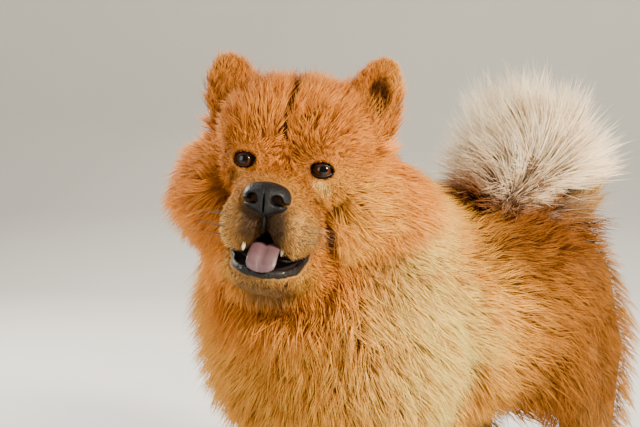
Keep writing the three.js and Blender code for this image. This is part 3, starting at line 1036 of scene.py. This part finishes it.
UV_PATCH = 0.003
FLOOR_ROOM = 0.4
ROOT_SHADE = 0.26
PLUME_ROOT_SHADE = 0.55
RING_SHARES = {1: (0.4,), 2: (0.2, 0.66)}
RING_SWELL = {1: (1.0,), 2: (1.0, 0.85)}
SLOTS = {"coat_tail": "pale_coat", "coat_muzzle": "grey_coat"}
for name, where, count, rings, shortest, longest, clumped in REGIONS:
    roots, normals, places = hairs(where, count)
    total = len(roots)
    flow, stand = growth(roots, normals)
    jitter = chance.normal(0, 1, (total, 3))
    if name == "coat_tail":
        over = ease(normals[:, 2], -0.95, -0.5)[:, None]
        fan = unit((roots - dog_origin - FAN) * (1.5, 0, 1)) + normals * (0.15, 0.5, 0.15)
        under = normals * (0.5, 0.5, 0) + np.sign(normals[:, 1:2] + 0.1) * (0, 0.8, 0) + (0, 0, 0.25)
        start = unit(fan * over + under * (1 - over) + jitter * 0.10)
        sag = np.array((0, 0, -0.03))
    else:
        start = unit(normals * stand + flow * (1 - stand) + jitter * 0.09)
        sag = np.array((0, 0, -0.09))
    bend = flow * (0.30 + 0.15 * chance.random((total, 1))) * np.minimum(stand * 2, 1) + sag

    # A lock grows until its tip leaves the dog's outline, and a few stray past it
    stray = 1 + 6 * chance.random(total) ** 2
    if name == "coat_tail":
        bearing = np.arctan2(start[:, 2], start[:, 0])
        spikes = ease(np.sin(10 * bearing + 1.6 * np.sin(4 * bearing) + 5 * start[:, 1]), -0.2, 0.9)
        stray += 24 * spikes * np.clip(1.4 * start[:, 2], 0, 1)
    length = np.full(total, float(shortest))
    for trial in np.linspace(shortest, longest, 16):
        tip = roots + trial * (start + bend)
        length = np.where(coat_field(tip.astype(np.float32)) < stray, trial, length)
    length = np.minimum(length, cap(roots)) * (0.74 + 0.36 * chance.random(total))
    tips = roots + length[:, None] * (start + bend)

    # Neighbours draw together into pointed, wavy tufts about a leading lock
    leaders = chance.choice(total, max(total // 20, 1), replace=False)
    tree = KDTree(len(leaders))
    for i, leader in enumerate(leaders):
        tree.insert(roots[leader], i)
    tree.balance()
    tuft = np.array([tree.find(root)[1] for root in roots.tolist()])
    nearest = leaders[tuft]
    goal = roots[nearest] + unit(tips[nearest] - roots[nearest]) * length[:, None]
    pull = (goal - tips) * clumped * (0.6 + 0.6 * chance.random((total, 1)))
    wave = chance.normal(0, 0.15, len(leaders))[tuft, None] + chance.normal(0, 0.03, (total, 1))
    sway = np.cross(normals, flow) * wave * length[:, None]
    widths = np.clip(0.26 + 0.0052 * length, 0.3, 0.68) * (0.7 + 0.6 * chance.random(total))

    def lock_at(share):
        """Points at that share of every lock's length."""
        curve = length[:, None] * (start * share + bend * share ** 2)
        return roots + curve + pull * share ** 1.5 + sway * np.sin(share * np.pi * 1.6)

    shares = RING_SHARES[rings]
    twist = chance.random(total) * 2 * np.pi
    lines = [roots - normals]
    for share, wide in zip(shares, RING_SWELL[rings]):
        way = unit(lock_at(share + 0.05) - lock_at(share - 0.05))
        first = unit(np.cross(way, normals + 0.01))
        second = np.cross(way, first)
        for j in range(3):
            turn = (twist + j * 2 * np.pi / 3)[:, None]
            ring = np.cos(turn) * first + 0.75 * np.sin(turn) * second
            lines.append(lock_at(share) + (widths * wide)[:, None] * ring)
    lines.append(lock_at(1.0))
    points = np.stack(lines, 1)
    points[:, :, 2] = np.maximum(points[:, :, 2], FLOOR_ROOM)
    faces = lock_faces(total, rings)
    coat = piece(name, points.reshape(-1, 3), faces)

    # Each lock is painted shade at its root and sun-bleached at its tip, and some on the muzzle are black
    steps = np.array([0, *np.repeat(shares, 3), 1.0])[None, :, None]
    root_tone = markings(roots)
    tone = root_tone[:, None] * (1 + 0.5 * steps ** 2)
    bleach = (0.08 + 0.24 * chance.random((total, 1))) * np.minimum(root_tone[:, :1] * 2, 1)
    tone += (CREAM - tone) * bleach[:, None] * steps ** 2
    # Painted shade deep in the coat: each lock darkens towards its root
    dark = PLUME_ROOT_SHADE if name == "coat_tail" else ROOT_SHADE
    tone *= dark + (1 - dark) * np.clip(steps * 1.4, 0, 1)
    uneven = chance.normal(0, 0.07, (total, 1)) + chance.normal(0, 0.09, len(leaders))[tuft, None]
    tone *= (1 + uneven)[:, None]
    if name == "coat_muzzle":
        tone *= np.where(chance.random((total, 1, 1)) < 0.22, 0.42, 1.15)
    paint(coat, "coat_colour", np.clip(tone, 0, 0.95).reshape(-1, 3))
    across = np.array([0.5, *([0.1, 0.5, 0.9] * rings), 0.5])
    uv_patch = (np.stack([across, steps.ravel()], -1) - 0.5) * UV_PATCH
    uvs = (places[:, None] + uv_patch[None]).reshape(-1, 2)[faces.ravel()]
    layer = coat.data.uv_layers.new(name="OFBake")
    layer.data.foreach_set("uv", uvs.astype(np.float32).ravel())
    fitted(coat, coat_look, SLOTS.get(name, "red_coat"))

# Whiskers
# A few stiff, tapered hairs of dark horn stand out and back from each side of the muzzle. Each is rooted
# in the skin above the lip.
WHISKERS = 13
WHISKER_RADIUS = 0.34
whisker_look, shader, place = material("whisker_hair", Roughness=0.4)
feed(shader, "Base Color", noise(place, 60, 2).colour(ink(30, 22, 16), ink(120, 92, 64)))
for side, sign in SIDES.items():
    points, faces = [], []
    for number in range(WHISKERS):
        bearing = math.radians(24 + 26 * chance.random())
        height = -50 - 26 * chance.random()
        toward = np.array([[math.cos(bearing), sign * math.sin(bearing), 0]])
        start = (LIP_AXIS, 0, height) + LINE_START * toward
        root = on_skin(start.astype(np.float32), (-toward).astype(np.float32))[0]
        reach = 26 + 26 * chance.random()
        along = np.linspace(0, 1, 9)[:, None]
        way = np.array((0.15 - 0.5 * chance.random(), sign, -0.15 + 0.5 * chance.random()))
        path = root + reach * (unit(way) * along + np.array((-0.25, 0, -0.28)) * along ** 2)
        line, quads = swept(path, WHISKER_RADIUS * (1 - 0.85 * along[:, 0]), 1.0, 5)
        faces.append(quads + sum(len(part) for part in points))
        points.append(line)
    whiskers = piece(f"whiskers_{side}", from_head(np.concatenate(points)), np.concatenate(faces))
    capped(whiskers)
    fitted(whiskers, whisker_look, "grey_coat")

# Floor and backdrop
# The dog stands on a plain pale sheet of paper that curves up behind it into a plain wall. Both reach
# far past the picture's edges.
floor_points = []
for y in (-16000, 16000):
    for x, z in ((9000, 0), (-2600, 0), (-3300, 160), (-3800, 600), (-4000, 1300), (-4000, 9000)):
        floor_points.append((x, y, z))
CAMERA_TURN = math.radians(40)
turn_to_camera = np.array(Euler((0, 0, CAMERA_TURN)).to_matrix())
floor_points = np.array(floor_points) @ turn_to_camera.T
floor_faces = np.array([(i, i + 6, i + 7, i + 1) for i in range(5)])[:, ::-1]
floor = piece("floor", floor_points, floor_faces)
floor_look, shader, place = material("floor_paper", Roughness=0.9)
feed(shader, "Base Color", noise(place, 3, 2).colour((0.62, 0.61, 0.59, 1), (0.66, 0.65, 0.63, 1)))
floor.data.materials.append(floor_look)

# Light
# A hard key light stands high on the camera's right, and a wide, weak one in front fills the shade. Two
# more, behind the dog and on the camera's left, edge the coat.
world = bpy.data.worlds.new("studio")
world.use_nodes = True
world.node_tree.nodes["Background"].inputs["Color"].default_value = (1.0, 0.97, 0.93, 1)
world.node_tree.nodes["Background"].inputs["Strength"].default_value = 0.24
bpy.context.scene.world = world
LIGHTS = {
    "key": ((0.3, 2.8, 1.9), 340, 0.4, (1.0, 0.89, 0.68)),
    "fill": ((2.4, -0.6, 1.1), 34, 1.6, (1.0, 0.95, 0.88)),
    "edge": ((-1.9, -1.2, 2.1), 90, 1.2, (1.0, 0.95, 0.86)),
    "rim": ((0.1, -2.3, 1.5), 90, 0.8, (1.0, 0.93, 0.82)),
}
for name, (at, power, size, tint) in LIGHTS.items():
    lamp = bpy.data.lights.new(name, "AREA")
    lamp.energy = power
    lamp.size = size
    lamp.color = tint
    holder = bpy.data.objects.new(name, lamp)
    holder.location = at
    holder.rotation_euler = (Vector((0.05, 0, 0.4)) - Vector(at)).to_track_quat("-Z", "Y").to_euler()
    holder.visible_camera = False
    bpy.context.scene.collection.objects.link(holder)

# Camera
# It stands 1.5 m from the head, a little above it, and sees the dog three-quarters on. Its place and its
# lens put the eyes where the photo has them.
CAMERA_DISTANCE = 1.5
CAMERA_DROP = math.radians(6)
EYES_SEEN_AT = (283, 165)
IMAGE = (640, 427)
LENS_PIXELS = 1500
backward = Vector((
    math.cos(CAMERA_TURN) * math.cos(CAMERA_DROP),
    math.sin(CAMERA_TURN) * math.cos(CAMERA_DROP),
    math.sin(CAMERA_DROP),
))
right = (-backward).cross(Vector((0, 0, 1))).normalized()
above = backward.cross(right)
aside = (EYES_SEEN_AT[0] - IMAGE[0] / 2) / LENS_PIXELS
higher = (IMAGE[1] / 2 - EYES_SEEN_AT[1]) / LENS_PIXELS
camera = bpy.data.objects.new("camera", bpy.data.cameras.new("camera"))
offset = backward - right * aside - above * higher
camera.location = Vector(head_origin.tolist()) / 1000 + CAMERA_DISTANCE * offset
camera.rotation_euler = backward.to_track_quat("Z", "Y").to_euler()
camera.data.sensor_width = 36
camera.data.lens = 36 * LENS_PIXELS / IMAGE[0]
bpy.context.scene.collection.objects.link(camera)
bpy.context.scene.camera = camera
